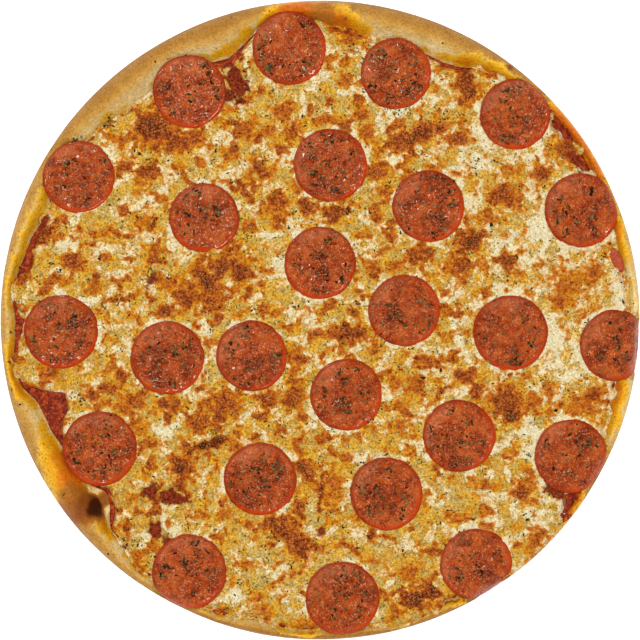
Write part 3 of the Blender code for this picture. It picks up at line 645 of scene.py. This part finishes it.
cheeseCfg = dict(
    cellsAcross=600, level=9.5, broad=0.45, curds=0.8, shredWidth=6.2, shredStretch=0.5, shredTurns=3, shredFrom=0.08,
    grains=0.25, randomFrom=-0.05, blister=0.7, hollow=1.2, lip=0.45, film=0.45, edgeRag=1.2, edgeLap=2.7,
    # where its edge lies further out, or further in where negative: angle, mm, half the width in degrees
    laps=((312.5, 4.0, 10), (289.5, 3.5, 4.5), (38, -2.4, 2.6), (30.8, -2.2, 1.8)),
    # browned patches: x and y in px, half length and half width in mm, turn in degrees, strength
    browned=(
        (160, 130, 12, 7.5, 10, 0.92), (150, 122, 5, 4, 0, 0.9), (177, 143, 6, 5, 0, 0.85),
        (192, 138, 6, 4, -20, 0.8), (147, 172, 5, 4.5, 0, 0.95), (125, 166, 3.5, 3, 0, 0.75),
        (247, 127, 4.5, 4, 0, 0.65), (271, 131, 3, 3, 0, 0.5), (282, 116, 4, 3.5, 0, 0.5),
        (293, 133, 4, 4, 0, 0.8), (261, 170, 5.5, 3.2, -60, 0.85), (228, 155, 3.5, 3, 0, 0.6),
        (278, 201, 5, 3.5, 0, 0.9), (306, 207, 4, 4, 0, 0.9), (266, 212, 3, 3, 0, 0.6),
        (246, 193, 5, 1.6, -55, 0.8), (225, 110, 3, 2.5, 0, 0.65), (72, 260, 4.5, 4, 0, 0.8),
        (95, 287, 4, 3, 0, 0.6), (45, 235, 6, 3, 40, 0.85), (26, 268, 5, 2.5, 80, 0.8), (142, 224, 4, 4, 0, 0.4),
        (155, 227, 3, 2.5, 0, 0.5), (170, 285, 4, 3, 0, 0.65), (187, 296, 7, 6, 0, 0.75),
        (210, 284, 6, 5.5, 0, 0.9), (222, 266, 7, 5, 0, 0.85), (241, 272, 4.5, 6, 0, 0.9),
        (214, 304, 6, 4, 0, 0.75), (198, 270, 4, 4, 0, 0.65), (165, 311, 5, 3, 0, 0.75), (45, 290, 3, 2, 0, 0.7),
        (279, 226, 2, 2, 0, 0.8), (154, 259, 3, 2, 0, 0.9), (249, 291, 2, 3, 0, 0.9), (355, 35, 5, 4, 0, 0.75),
        (335, 27, 4, 3, 0, 0.7), (467, 86, 9, 5, 105, 0.92), (402, 143, 6, 5, 0, 1.0),
        (422, 133, 6, 4, 15, 0.95), (440, 127, 5, 3, 15, 0.8), (459, 137, 3.5, 3.5, 0, 0.95),
        (367, 132, 3, 4.5, 0, 0.65), (377, 172, 4, 4, 0, 0.75), (384, 190, 3.5, 4, 0, 0.75),
        (337, 119, 3, 2, 0, 0.55), (345, 82, 3.5, 3, 0, 0.7), (360, 113, 3, 4, 0, 0.55),
        (335, 213, 4.5, 4, 0, 0.9), (377, 212, 2.2, 5, 0, 0.75), (565, 150, 6.5, 5, -40, 0.7),
        (542, 173, 4, 4.5, 0, 0.9), (505, 195, 7, 5.5, 10, 0.78), (470, 240, 6.5, 5.5, 0, 1.0),
        (505, 260, 4.5, 3.5, 0, 0.85), (457, 266, 6, 4.5, 0, 0.75), (420, 255, 6.5, 4, 0, 0.85),
        (395, 266, 4, 3, 0, 0.7), (370, 265, 3.5, 3, 0, 0.45), (571, 286, 10, 7.5, 0, 0.5),
        (560, 300, 4, 3.5, 0, 0.75), (592, 272, 4, 4, 0, 0.6), (130, 402, 7, 4, 0, 0.6),
        (140, 426, 5, 4, 0, 0.55), (95, 540, 4, 5, 0, 0.6), (170, 403, 7, 3, 0, 0.8),
        (225, 404, 6.5, 6.5, 0, 0.8), (200, 421, 5, 5, 0, 0.8), (212, 443, 11.5, 2, 16, 1.2),
        (182, 465, 5.5, 5.5, 0, 0.8), (110, 389, 5, 2.5, 0, 0.9), (122, 376, 3, 3, 0, 0.7),
        (50, 371, 5, 4, 0, 0.6), (150, 442, 4, 3, 0, 0.65), (127, 526, 3, 3, 0, 0.7),
        (290, 352, 5, 4.5, 0, 0.65), (268, 396, 6, 3, 0, 0.75), (295, 396, 5, 6, 0, 0.8),
        (305, 467, 5, 4.5, 0, 0.9), (270, 521, 5, 3, 0, 0.65), (286, 528, 7, 5.5, 0, 0.9),
        (301, 546, 5, 5, 0, 0.8), (225, 512, 4, 3, 0, 0.5), (300, 507, 3, 4, 0, 0.75), (92, 394, 3.5, 3, 0, 0.7),
        (346, 333, 10.5, 4, 0, 0.95), (415, 386, 5, 4.5, 0, 0.7), (395, 381, 4, 4, 0, 0.65),
        (465, 376, 4, 4, 0, 0.75), (476, 392, 3.5, 4, 0, 0.85), (504, 402, 8.5, 6.5, 20, 0.85),
        (510, 415, 4, 4, 0, 1.15), (530, 400, 5, 5, 0, 0.6), (580, 404, 10, 7, 0, 0.52),
        (594, 392, 4, 4, 0, 0.8), (521, 490, 3, 4.5, 0, 0.9), (413, 597, 6, 5, 0, 1.0),
        (430, 592, 4, 3, 0, 0.95), (536, 536, 5, 3, 45, 0.65), (410, 570, 4, 4, 0, 0.65),
        (375, 350, 4, 3, 0, 0.45), (430, 417, 3, 3, 0, 0.6), (400, 426, 4, 3, 0, 0.55),
        (447, 336, 3, 3, 0, 0.55), (331, 489, 6, 9.5, 0, 0.45), (321, 491, 1.3, 7.5, -6, 1.15),
        (265, 608, 4, 3, 0, 0.5), (300, 622, 4, 2.5, 0, 0.55), (560, 620, 3, 3, 0, 0.6),
    ),
    # places where the sauce shows through, in the same way
    sauce=(
        (152, 280, 2, 4, -30, 0.75), (97, 277, 2.5, 1.5, 20, 0.65), (150, 491, 5, 3, 15, 0.95),
        (173, 497, 6.5, 3.5, -12, 1.0), (156, 529, 3, 4, 30, 0.85), (168, 540, 2.5, 2.5, 0, 0.75),
        (237, 83, 4, 8, 10, 1.0), (228, 96, 4, 3, 0, 0.85), (465, 64, 3, 4, 0, 0.7), (576, 160, 2.5, 4, 20, 0.8),
        (574, 499, 5, 5, 0, 0.9), (556, 491, 5, 3, -30, 0.9), (450, 601, 4, 2, 20, 0.75),
        (588, 161, 3.6, 3.4, 0, 0.85), (574, 134, 4.2, 2.6, -50, 0.8), (558, 117, 3.4, 2.4, -45, 0.8),
        (321, 531, 1.5, 2.5, 0, 0.7), (30, 262, 2, 4, -10, 0.8), (44, 222, 4, 2.5, 40, 0.8),
        (35, 240, 4, 2, 60, 0.7), (348, 30, 2.5, 2, 0, 0.7), (213, 439, 2, 1.5, 0, 0.5),
    ),
    # the pale, least baked stretches, in the same way
    pale=(
        (276, 252, 4.5, 8, 0, 0.35), (283, 280, 5, 4, 0, 0.3), (224, 188, 13, 1.8, -55, 0.4),
        (470, 152, 4, 5, 0, 0.3), (482, 125, 5, 9, 0, 0.3), (500, 245, 7, 4, 0, 0.3), (541, 240, 4, 8, 0, 0.35),
        (392, 112, 5, 4, 0, 0.3), (310, 98, 6, 5, 0, 0.3), (553, 350, 4, 10, 0, 0.4), (562, 375, 8, 3, 0, 0.35),
        (66, 247, 4, 4, 0, 0.3), (100, 208, 8, 2.5, 0, 0.3), (180, 517, 8, 4, 0, 0.3), (262, 563, 8, 6, 0, 0.3),
        (292, 600, 5, 5, 0, 0.3), (232, 592, 6, 5, 0, 0.3), (440, 500, 8, 6, 0, 0.12), (545, 515, 7, 6, 0, 0.3),
        (84, 408, 4, 3, 0, 0.3), (156, 194, 4, 4, 0, 0.3), (165, 430, 6, 4, 0, 0.25), (360, 448, 7, 4, 0, 0.12),
        (418, 95, 4, 6, 0, 0.3), (620, 300, 3, 6, 0, 0.3), (530, 440, 4, 8, 0, 0.3), (330, 555, 6, 3, 0, 0.25),
        (118, 480, 3, 5, 0, 0.3),
    ),
    # a tongue of cheese over a slice's edge: x and y in px, half length, half width and height in mm
    tongue=(215, 251, 5.5, 2.6, 11.6),
)


def ovals(x, y, spots, rough=0.3, cell=5.0, seed=21):
    # The strongest of several soft ovals: the distance in half lengths and half widths along each
    # oval's own directions, made ragged by noise, fades from the full strength to nothing
    ragged = 1 + rough * waves(x, y, cell, seed, 3)
    most = np.zeros(x.shape)
    for px, py, long, wide, turn, strength in spots:
        sx, sy = fromPhoto(px, py)
        c, s = math.cos(math.radians(turn)), math.sin(math.radians(turn))
        away = np.hypot(((x - sx) * c + (y - sy) * s) / long, ((y - sy) * c - (x - sx) * s) / wide) * ragged
        most = np.maximum(most, strength * (1 - fade(away, 0.4, 1.75)))
    return most


def curdsAt(x, y):
    # Melted shreds: for each of several directions a gradient noise stretched along it, of which
    # the highest counts, so that long lumps lie across each other; 0 between them and 1 on top
    c = cheeseCfg
    wx, wy = x + 1.3 * waves(x, y, 5, 51), y + 1.3 * waves(x, y, 5, 52)
    highest = np.full(np.shape(x), -1.0)
    for k in range(c["shredTurns"]):
        turn = math.pi * (k + 0.3 * math.sin(5 * k)) / c["shredTurns"]
        along = wx * math.cos(turn) + wy * math.sin(turn)
        across = wy * math.cos(turn) - wx * math.sin(turn)
        highest = np.maximum(highest, waves(along * c["shredStretch"], across, c["shredWidth"], 44 + 9 * k))
    return fade(highest, c["shredFrom"], c["shredFrom"] + 0.42)


def brownedAt(x, y):
    # The listed patches and smaller random ones, weaker on the right, 0 to about 1
    c = cheeseCfg
    patches = waves(x + 2 * waves(x, y, 5, 96), y, 7.5, 98, 3)
    random = (0.66 - 0.3 * fade(x, 20, 145)) * fade(patches, c["randomFrom"], c["randomFrom"] + 0.7)
    return np.maximum(ovals(x, y, c["browned"], 0.6, 4.2), random)


def sauceAt(x, y):
    # The listed hollows, with ragged outlines, 0 to 1
    return ovals(x, y, cheeseCfg["sauce"], 0.5, 3.0, 61)


def cheeseTop(x, y):
    # Sum of broad swells, rounded curds, fine grains and blisters, less the hollows where sauce
    # shows, with a lip round each slice, and never below a thin film on the dough
    c = cheeseCfg
    height = c["level"] + c["broad"] * waves(x, y, 24, 41, 2) + c["curds"] * curdsAt(x, y)
    height = height + c["grains"] * waves(x, y, 1.9, 47, 2) + c["blister"] * brownedAt(x, y)
    height = height - c["hollow"] * sauceAt(x, y)
    for piece in slices:
        away = np.hypot(x - piece["x"], y - piece["y"]) - piece["r"]
        height = height + c["lip"] * np.exp(-(np.clip(away, 0, None) / 1.4) ** 2) * (1 + 0.8 * waves(x, y, 5, 71))
    return np.maximum(height, rimHeight(x, y) + c["film"] + 0.3 * waves(x, y, 3, 77, 2))


def cheeseMarks(x, y):
    # How browned and how pale each point is, and how much sauce shows there
    c = cheeseCfg
    shreds, heat = curdsAt(x, y), brownedAt(x, y)
    unbrowned = ovals(x, y, c["pale"], 0.4, 6.0, 95)
    browned = 0.07 + heat * (0.78 + 0.28 * shreds) + 0.1 * waves(x, y, 16, 91, 2) - unbrowned
    pale = 0.5 * unbrowned + 0.38 * shreds - 0.19 + 0.16 * waves(x, y, 8, 92, 3)
    pale = pale + 0.2 * fade(x, 20, 145) - 0.07 * fade(-y, 10, 80) - 0.02
    for piece in slices:
        away = np.hypot(x - piece["x"], y - piece["y"]) - piece["r"]
        halo = np.exp(-((away - 0.6) / 1.1) ** 2) * fade(waves(x, y, 9, 99), -0.4, 0.2)
        browned, pale = browned - 0.25 * halo, pale + 0.2 * halo
    return dict(browned=browned, pale=pale, sauce=sauceAt(x, y))


def cheesePieces():
    # A square grid bent into a disc: the distance from the centre is the larger of the two
    # coordinates, and the angle grows evenly along each side; the rim is then stretched to the
    # outline. A tongue of cheese, a paraboloid, lies over the edge of one slice. The grid is cut
    # into four closed quarters with a wall down to a level underside
    c = cheeseCfg
    count = c["cellsAcross"] + 1
    a, b = np.meshgrid(np.linspace(-1, 1, count), np.linspace(-1, 1, count), indexing="ij")
    sideways = abs(a) >= abs(b)
    size = np.where(sideways, a, b)
    safe = np.where(abs(size) < 1e-9, 1, size)
    turn = np.where(sideways, math.pi / 4 * b / safe, math.pi / 2 - math.pi / 4 * a / safe)
    share, angle = polar(size * np.cos(turn), size * np.sin(turn))
    edge = around(angle, cheeseRing) + c["edgeLap"]
    ragged = c["edgeRag"] * waves(edge * np.cos(np.radians(angle)), edge * np.sin(np.radians(angle)), 6, 83, 3)
    for middle, further, half in c["laps"]:
        edge = edge + further * np.exp(-((angle - middle) / half) ** 4)
    edge = np.minimum(edge + ragged, radius - 0.5)
    reach = share * (140 + (edge - 140) * share ** 4)
    x, y = reach * np.cos(np.radians(angle)), reach * np.sin(np.radians(angle))
    rim = rimHeight(x, y)
    height = rim + (cheeseTop(x, y) - rim) * (0.35 + 0.65 * fade(share, 1.0, 0.975))
    height = underSlices(x, y, height, 0.25, -0.3)
    px, py, long, wide, upTo = c["tongue"]
    tx, ty = fromPhoto(px, py)
    away = np.hypot((x - tx) / long, (y - ty) / wide) * (1 + 0.4 * waves(x, y, 2.5, 63, 2))
    height = np.maximum(height, upTo + 0.2 * waves(x, y, 1.9, 47, 2) - 2.6 * away ** 2)
    top = np.stack((x, y, height), -1)
    marks = cheeseMarks(x, y)
    material, half = cheeseFinish(), c["cellsAcross"] // 2
    for number, (i, j) in enumerate(((0, 0), (half, 0), (0, half), (half, half)), 1):
        part = (slice(i, i + half + 1), slice(j, j + half + 1))
        points = top[part].reshape(-1, 3)
        index = np.arange((half + 1) ** 2).reshape(half + 1, half + 1)
        ring = np.concatenate((index[0, :-1], index[:-1, -1], index[-1, :0:-1], index[:0:-1, 0]))
        wall = points[ring].copy()
        wall[:, 2] = np.minimum(cheeseLow, wall[:, 2] - 0.8)
        wall[:, :2] *= np.where(share[part].ravel()[ring] > 0.999, 0.985, 1)[:, None]
        lower = len(points) + np.arange(len(ring))
        middle = np.append(points[index[half // 2, half // 2], :2], cheeseLow)
        sides = np.column_stack((ring, np.roll(ring, -1), np.roll(lower, -1), lower))
        faces = (gridFaces(half + 1, half + 1, False), sides[:, ::-1],
                 fanFaces(lower, len(points) + len(ring))[:, ::-1])
        unmarked = np.zeros(len(ring) + 1)
        own = {name: np.concatenate((values[part].ravel(), unmarked)) for name, values in marks.items()}
        piece = makePiece("meltedCheese%d" % number, np.vstack((points, wall, middle[None])), faces, material,
                          ("cheese",), own)
        sharpenWall(piece.data, len(points))


def sharpenWall(mesh, topCount):
    # The edges round the top stay sharp, so that the top is shaded as one face with its neighbours
    ends = np.empty(len(mesh.edges) * 2, np.int32)
    mesh.edges.foreach_get("vertices", ends)
    sharp = np.zeros(len(mesh.edges), bool)
    lowerEnds = (ends.reshape(-1, 2) >= topCount).sum(1)
    onRing = np.zeros(len(mesh.vertices), bool)
    onRing[ends.reshape(-1, 2)[lowerEnds == 1].ravel()] = True
    onRing[topCount:] = False
    sharp[onRing[ends.reshape(-1, 2)].all(1)] = True
    mesh.attributes.new("sharp_edge", "BOOLEAN", "EDGE").data.foreach_set("value", sharp)


# Pepperoni

sliceCfg = dict(sectors=120, rings=34, dish=0.35, lip=0.22, relief=0.22, pits=0.35, paintedLightTurn=-0.9)


def slicePiece(piece, number, material):
    # A turned disc: a dished top with a low smooth lip, a rounded side and a level underside,
    # laid on its seat and bent over the dough's edge past the fold
    c = sliceCfg
    turn = np.arange(c["sectors"]) * tau / c["sectors"]
    share = np.linspace(0, 1, c["rings"] + 1)[1:, None] ** 0.8 * 0.955
    lift = piece["thick"] - c["dish"] * (1 - share ** 2) + c["lip"] * fade(share, 0.84, 0.93)
    side = np.array(((0.985, 0.97), (1.0, 0.72), (1.0, 0.42), (0.985, 0.12), (0.95, 0.0), (0.5, 0.0)))
    share = np.vstack((share, side[:, :1]))
    lift = np.vstack((lift, side[:, 1:] * piece["thick"]))
    uneven = (1 + 0.008 * np.cos(2 * turn + number) + 0.006 * np.cos(3 * turn + 2 * number)
              + 0.004 * np.cos(7 * turn + 5 * number))
    u = share * piece["r"] * uneven * np.cos(turn)
    v = share * piece["r"] * uneven * np.sin(turn)
    x, y = piece["x"] + u, piece["y"] + v
    top = (np.arange(len(share)) < c["rings"])[:, None] * (1 - 0.8 * fade(share, 0.86, 0.93))
    nearest, owner = cells(x, y, 3.1, 300 + number)
    pits = np.where(owner > 0.72, fade(nearest, 0.42, 0.1), 0)
    lift = lift + top * (c["relief"] * waves(x, y, 2.6, 200 + number, 3) - c["pits"] * pits)
    points = bendSlice(piece, x, y, lift).reshape(-1, 3)
    poles = bendSlice(piece, np.full(2, piece["x"]), np.full(2, piece["y"]),
                      np.array((piece["thick"] - c["dish"], 0.0)))
    points = np.vstack((points, poles))
    rows, columns = share.shape[0], c["sectors"]
    ring = np.arange(columns)
    faces = (gridFaces(rows, columns, True), fanFaces(ring[::-1], rows * columns),
             fanFaces((rows - 1) * columns + ring, rows * columns + 1))
    edge = np.concatenate((np.broadcast_to(share, x.shape).ravel(), (0.0, 0.0)))
    paintedLightSide = np.cos(turn - c["paintedLightTurn"] - 0.5 * math.sin(number * 2.4))      # 1 on the side whose edge gets painted light, turned much the same way on every slice
    # painted light on the edge at that side
    glow = fade(paintedLightSide, 0.1, 0.9) * fade(share, 0.8, 0.93)
    # painted sheen on the side away from the painted light
    paintedSheen = fade(-share * paintedLightSide + 0.25 * waves(x, y, 8, 320 + number, 2), 0.0, 0.8)
    glow, paintedSheen = (np.concatenate((mark.ravel(), (0.0, 0.0))) for mark in (glow, paintedSheen))
    return makePiece("pepperoniSlice%02d" % number, points, faces, material, (piece["node"],),
                     dict(edge=edge, glow=glow, paintedSheen=paintedSheen))


def bendSlice(piece, x, y, lift):
    # Past the fold's start a length along the slice becomes an arc round the dough's edge
    reach = np.hypot(x, y)
    kept = np.minimum(reach, fold["end"])
    bend = np.clip(kept - fold["start"], 0, None) / fold["radius"]
    bow = fold["radius"] + lift - piece["thick"] / 2
    out = np.minimum(kept, fold["start"]) + bow * np.sin(bend)
    height = sliceBase(piece, x, y) + lift - bow * (1 - np.cos(bend))
    return np.stack((x / reach * out, y / reach * out, height), -1)


# Ham sliver

hamCfg = dict(sectors=48, rings=10, above=0.55, below=0.5)


def hamPiece():
    # A thin oval with a wavy top, as long and wide as its solid along the solid's own directions,
    # and laid on the plane that fits the solid's corners best
    c = hamCfg
    points = nodePoints("ham_sliver")
    centre = (points.min(0) + points.max(0)) / 2
    flat = points[:, :2] - centre[:2]
    spread, directions = np.linalg.eigh(flat.T @ flat)
    along, aside = directions[:, 1], directions[:, 0]
    half = abs(flat @ along).max(), abs(flat @ aside).max()
    plane = np.linalg.lstsq(np.column_stack((flat, np.ones(len(flat)))), points[:, 2], rcond=None)[0]
    turn = np.arange(c["sectors"]) * tau / c["sectors"]
    onTop = np.linspace(0.1, 1, c["rings"])[:, None]
    share = np.vstack((onTop, np.array(((0.98,), (0.5,)))))
    lift = np.vstack((c["above"] * np.sqrt(1 - onTop ** 4), np.array(((0.05 - c["below"],), (-c["below"],)))))
    offset = (share * half[0] * np.cos(turn))[..., None] * along
    offset = offset + (share * half[1] * np.sin(turn))[..., None] * aside
    xy = centre[:2] + offset
    lift = lift + np.where(lift > -0.2, 0.12 * waves(xy[..., 0], xy[..., 1], 2.0, 5, 2), 0)
    height = plane[2] + offset @ plane[:2] + lift
    points = np.concatenate((xy, height[..., None]), -1).reshape(-1, 3)
    points = np.vstack((points, ((*centre[:2], plane[2] + c["above"]), (*centre[:2], plane[2] - c["below"]))))
    rows, columns = share.shape[0], c["sectors"]
    ring = np.arange(columns)
    faces = (gridFaces(rows, columns, True), fanFaces(ring[::-1], rows * columns),
             fanFaces((rows - 1) * columns + ring, rows * columns + 1))
    return makePiece("hamSliver", points, faces, hamFinish(), ("ham_sliver",))


# Dried herbs

herbCfg = dict(
    seed=5, thinnest=0.14, thickest=0.26, sunk=0.25,
    # how many clumps, flakes in one, its spread and the smallest and largest half width of a flake in mm
    scattered=(7600, 1, 0.0, 0.24, 0.85), clumps=(430, 9, 1.2, 0.25, 1.2), onSlices=(8, 15, 1.4, 0.3, 1.5),
    # thick sprinklings: x, y, spread in mm, how many
    heaps=((-100, 96, 6, 26), (-56, 105, 6, 30), (-59, 63, 4, 16), (-50, 53, 4, 20), (-63, 57, 3, 8),
           (-76, 80, 5, 18), (40, 122, 6, 22), (30, 110, 5, 14), (8, 68, 7, 26), (-2, 75, 6, 20),
           (92, 92, 6, 22), (52, 50, 6, 20), (120, 46, 4, 14), (1, 20, 6, 22), (38, 8, 6, 18), (88, 2, 6, 26),
           (138, -8, 5, 20), (-74, -16, 6, 12), (-30, -24, 6, 16), (14, -42, 6, 22), (66, -52, 7, 30),
           (-98, -62, 6, 20), (-22, -80, 6, 20), (32, -80, 7, 34), (122, -58, 5, 20), (-58, -112, 5, 22),
           (74, -118, 6, 20), (12, -126, 6, 22), (-12, 128, 6, 26), (-118, 70, 5, 20), (-122, -8, 6, 26),
           (62, 96, 5, 16), (-35, 52, 5, 12), (55, -95, 6, 16), (98, 60, 5, 14)),
    # sprinklings on the rim: x and y in px, spread in mm, how many
    onRim=((112, 117, 2.5, 12), (106, 124, 1.5, 6), (77, 141, 1.5, 6), (135, 104, 1.2, 5), (11, 330, 1.5, 6),
           (11, 360, 1, 4), (15, 386, 1.2, 5), (24, 402, 1.5, 5), (38, 462, 1.2, 5), (110, 551, 1.8, 7),
           (113, 536, 1.0, 4), (18, 266, 1.5, 4), (146, 564, 1.2, 3), (590, 150, 1.2, 3), (622, 300, 1.5, 4)),
    # single large leaves: x and y in px, half length in mm
    leaves=((140, 153, 2.4), (148, 159, 1.8), (135, 150, 1.6), (164, 163, 1.3), (228, 173, 1.4), (201, 195, 1.6),
            (219, 213, 2.0), (214, 208, 1.3), (244, 251, 1.8), (216, 150, 1.2), (313, 268, 1.6), (335, 159, 1.7),
            (329, 166, 1.4), (131, 213, 1.2), (464, 122, 1.9), (469, 154, 1.0), (476, 174, 1.3), (490, 224, 1.6),
            (415, 75, 1.7), (429, 190, 1.7), (424, 204, 1.3), (451, 205, 1.6), (122, 410, 1.6), (110, 551, 1.5),
            (207, 550, 2.0), (175, 552, 1.8), (110, 455, 1.6), (177, 426, 1.2), (197, 419, 1.4), (440, 369, 1.8),
            (555, 410, 1.8), (467, 441, 1.6), (375, 487, 1.8), (380, 496, 1.4), (570, 433, 1.8), (500, 560, 1.6),
            (340, 590, 1.5), (262, 480, 1.4), (112, 118, 1.8), (108, 124, 1.5), (77, 140, 1.6)),
)


def surfaceHeight(x, y):
    # Top of whatever lies at each place: dough, cheese or slice
    reach, angle = polar(x, y)
    onCheese = reach < around(angle, cheeseRing) + cheeseCfg["edgeLap"] - 0.5
    height = np.where(onCheese, cheeseTop(x, y), np.maximum(rimHeight(x, y), sauceTop + 0.6))
    for piece in slices:
        away = np.hypot(x - piece["x"], y - piece["y"]) / piece["r"]
        lift = piece["thick"] - sliceCfg["dish"] * (1 - np.minimum(away, 1) ** 2)
        height = np.where(away < 0.99, sliceHeight(piece, x, y, lift), height)
    return height


def herbPlaces(draw):
    # Random places over the cheese, with clumps, more clumps on each slice, the listed heaps and
    # sprinklings on the rim, and single large leaves; few of the random ones fall off the cheese
    c = herbCfg
    groups = []
    for count, inClump, spread, smallest, largest in (c["scattered"], c["clumps"]):
        reach, turn = radius * np.sqrt(draw.random(count)), tau * draw.random(count)
        groups.append((reach * np.cos(turn), reach * np.sin(turn), inClump, spread, smallest, largest))
    count, inClump, spread, smallest, largest = c["onSlices"]
    for piece in slices:
        reach, turn = 0.82 * piece["r"] * np.sqrt(draw.random(count)), tau * draw.random(count)
        groups.append((piece["x"] + reach * np.cos(turn), piece["y"] + reach * np.sin(turn),
                       inClump, spread, smallest, largest))
    for hx, hy, spread, many in c["heaps"]:
        groups.append((np.array((hx,)), np.array((hy,)), many, 0.6 * spread, 0.25, 1.2))
    for px, py, spread, many in c["onRim"]:
        hx, hy = fromPhoto(px, py)
        groups.append((np.array((hx,)), np.array((hy,)), many, 0.6 * spread, 0.35, 1.3))
    flakesOnRim = sum(place[3] for place in c["onRim"])
    x, y, size = [], [], []
    for gx, gy, inClump, spread, smallest, largest in groups:
        total = len(gx) * inClump
        x.append(np.repeat(gx, inClump) + spread * draw.normal(0, 1, total))
        y.append(np.repeat(gy, inClump) + spread * draw.normal(0, 1, total))
        size.append(smallest + (largest - smallest) * draw.random(total) ** 2.5)
    x, y, size = (np.concatenate(parts) for parts in (x, y, size))
    reach, angle = polar(x, y)
    keep = (reach < around(angle, cheeseRing)) | (draw.random(len(x)) < 0.1)
    keep[-flakesOnRim:] = True
    keep &= reach < radius - 2.5
    leaves = np.array(c["leaves"])
    lx, ly = fromPhoto(leaves[:, 0], leaves[:, 1])
    return np.append(x[keep], lx), np.append(y[keep], ly), np.append(size[keep], leaves[:, 2])


def herbPiece():
    # Each flake is a ragged six-sided leaf between a point above and one below, turned,
    # tipped and set on the surface under it; all flakes are one mesh
    c = herbCfg
    draw = np.random.default_rng(c["seed"])
    x, y, size = herbPlaces(draw)
    count = len(x)
    long = size * (0.9 + 0.9 * draw.random(count) ** 2)
    wide = size * (0.35 + 0.45 * draw.random(count))
    turn = draw.random(count) * tau
    ring = np.arange(6) * tau / 6
    ragged = 0.6 + 0.6 * draw.random((count, 6))
    u = np.cos(ring) * ragged * long[:, None] * 0.75
    v = np.sin(ring) * ragged * wide[:, None] * 0.75
    tipU, tipV = draw.normal(0, 0.25, (2, count, 1))
    lift = tipU * u + tipV * v + 0.1
    top = surfaceHeight(x, y)[:, None]
    ringPoints = np.stack((x[:, None] + u * np.cos(turn)[:, None] - v * np.sin(turn)[:, None],
                           y[:, None] + u * np.sin(turn)[:, None] + v * np.cos(turn)[:, None],
                           top + lift), -1)
    thick = (c["thinnest"] + (c["thickest"] - c["thinnest"]) * draw.random(count))[:, None]
    above = np.stack((x[:, None], y[:, None], top + 0.1 + thick), -1)
    below = np.stack((x[:, None], y[:, None], top - c["sunk"]), -1)
    points = np.concatenate((ringPoints, above, below), 1).reshape(-1, 3)
    k = np.arange(6)
    oneFlake = np.vstack((np.column_stack((k, (k + 1) % 6, np.full(6, 6))),
                          np.column_stack(((k + 1) % 6, k, np.full(6, 7)))))
    faces = (oneFlake[None] + 8 * np.arange(count)[:, None, None]).reshape(-1, 3)
    tone = np.repeat(draw.random(count) ** 1.2, 8)
    print("herb flakes:", count)
    return makePiece("driedHerbs", points, (faces,), herbFinish(), (), dict(tone=tone))


crustPiece()
print("crust made")
saucePiece()
print("sauce made")
cheesePieces()
print("cheese made")
sliceMaterial = sliceFinish()
for number, piece in enumerate(slices, 1):
    slicePiece(piece, number, sliceMaterial)
print("slices made")
hamPiece()
herbPiece()
print("herbs made")


# Floor, light and camera

stageCfg = dict(
    floor=(0.95, 0.95, 0.95), floorSize=16.0, floorDrop=0.0002, glow=0.4,
    world=(1.0, 1.0, 1.0), worldPower=0.36, lens=100, sensor=36, margin=1.003,
    # name, place and size in metres, power in watts, and whether it makes glints
    lights=(("key", (-0.2, 0.25, 2.1), 1.0, 28, False), ("spark", (-0.4, 0.5, 1.9), 0.15, 6, True),
            ("fill", (0.5, -0.35, 2.0), 1.8, 13, False)),
)


def makeFloor():
    # One square just under the pizza that glows a little, so that it shows white
    half, low = stageCfg["floorSize"] / 2, -stageCfg["floorDrop"]
    mesh = bpy.data.meshes.new("floor")
    mesh.from_pydata([(-half, -half, low), (half, -half, low), (half, half, low), (-half, half, low)],
                     [], [(0, 1, 2, 3)])
    f = Finish("pale floor", 0.9, 0.1)
    f.shader.inputs["Emission Color"].default_value = (1, 1, 1, 1)
    f.shader.inputs["Emission Strength"].default_value = stageCfg["glow"]
    mesh.materials.append(f.finish(stageCfg["floor"]))
    floor = bpy.data.objects.new("floor", mesh)
    bpy.context.scene.collection.objects.link(floor)


def makeLight(name, place, size, power, glints):
    # A square area light turned to the pizza's centre; only the small one makes glints, so that the
    # large soft ones put no grey haze over the dark colours
    light = bpy.data.lights.new(name, "AREA")
    light.shape = "SQUARE"
    light.size = size
    light.energy = power
    lamp = bpy.data.objects.new(name, light)
    bpy.context.scene.collection.objects.link(lamp)
    lamp.visible_glossy = glints
    x, y, z = place
    lamp.location = place
    lamp.rotation_euler = (math.atan2(math.hypot(x, y), z), 0, math.atan2(x, -y))


def makeCamera():
    # Straight above, with the pizza's circle just touching the four sides of the picture
    camera = bpy.data.cameras.new("camera")
    camera.lens = stageCfg["lens"]
    camera.sensor_width = stageCfg["sensor"]
    rig = bpy.data.objects.new("camera", camera)
    bpy.context.scene.collection.objects.link(rig)
    halfWidth = radius * mm * stageCfg["margin"]
    rig.location = (0, 0, doughTop * mm + halfWidth * camera.lens / (camera.sensor_width / 2))
    bpy.context.scene.camera = rig


def makeWorld():
    # Even white light from all round, without reflections
    world = bpy.data.worlds.new("studio")
    world.use_nodes = True
    background = world.node_tree.nodes["Background"]
    background.inputs["Color"].default_value = (*stageCfg["world"], 1)
    background.inputs["Strength"].default_value = stageCfg["worldPower"]
    world.cycles_visibility.glossy = False
    bpy.context.scene.world = world
    bpy.context.scene.view_settings.view_transform = "Standard"


makeFloor()
for light in stageCfg["lights"]:
    makeLight(*light)
makeWorld()
makeCamera()
print("floor, light and camera made")
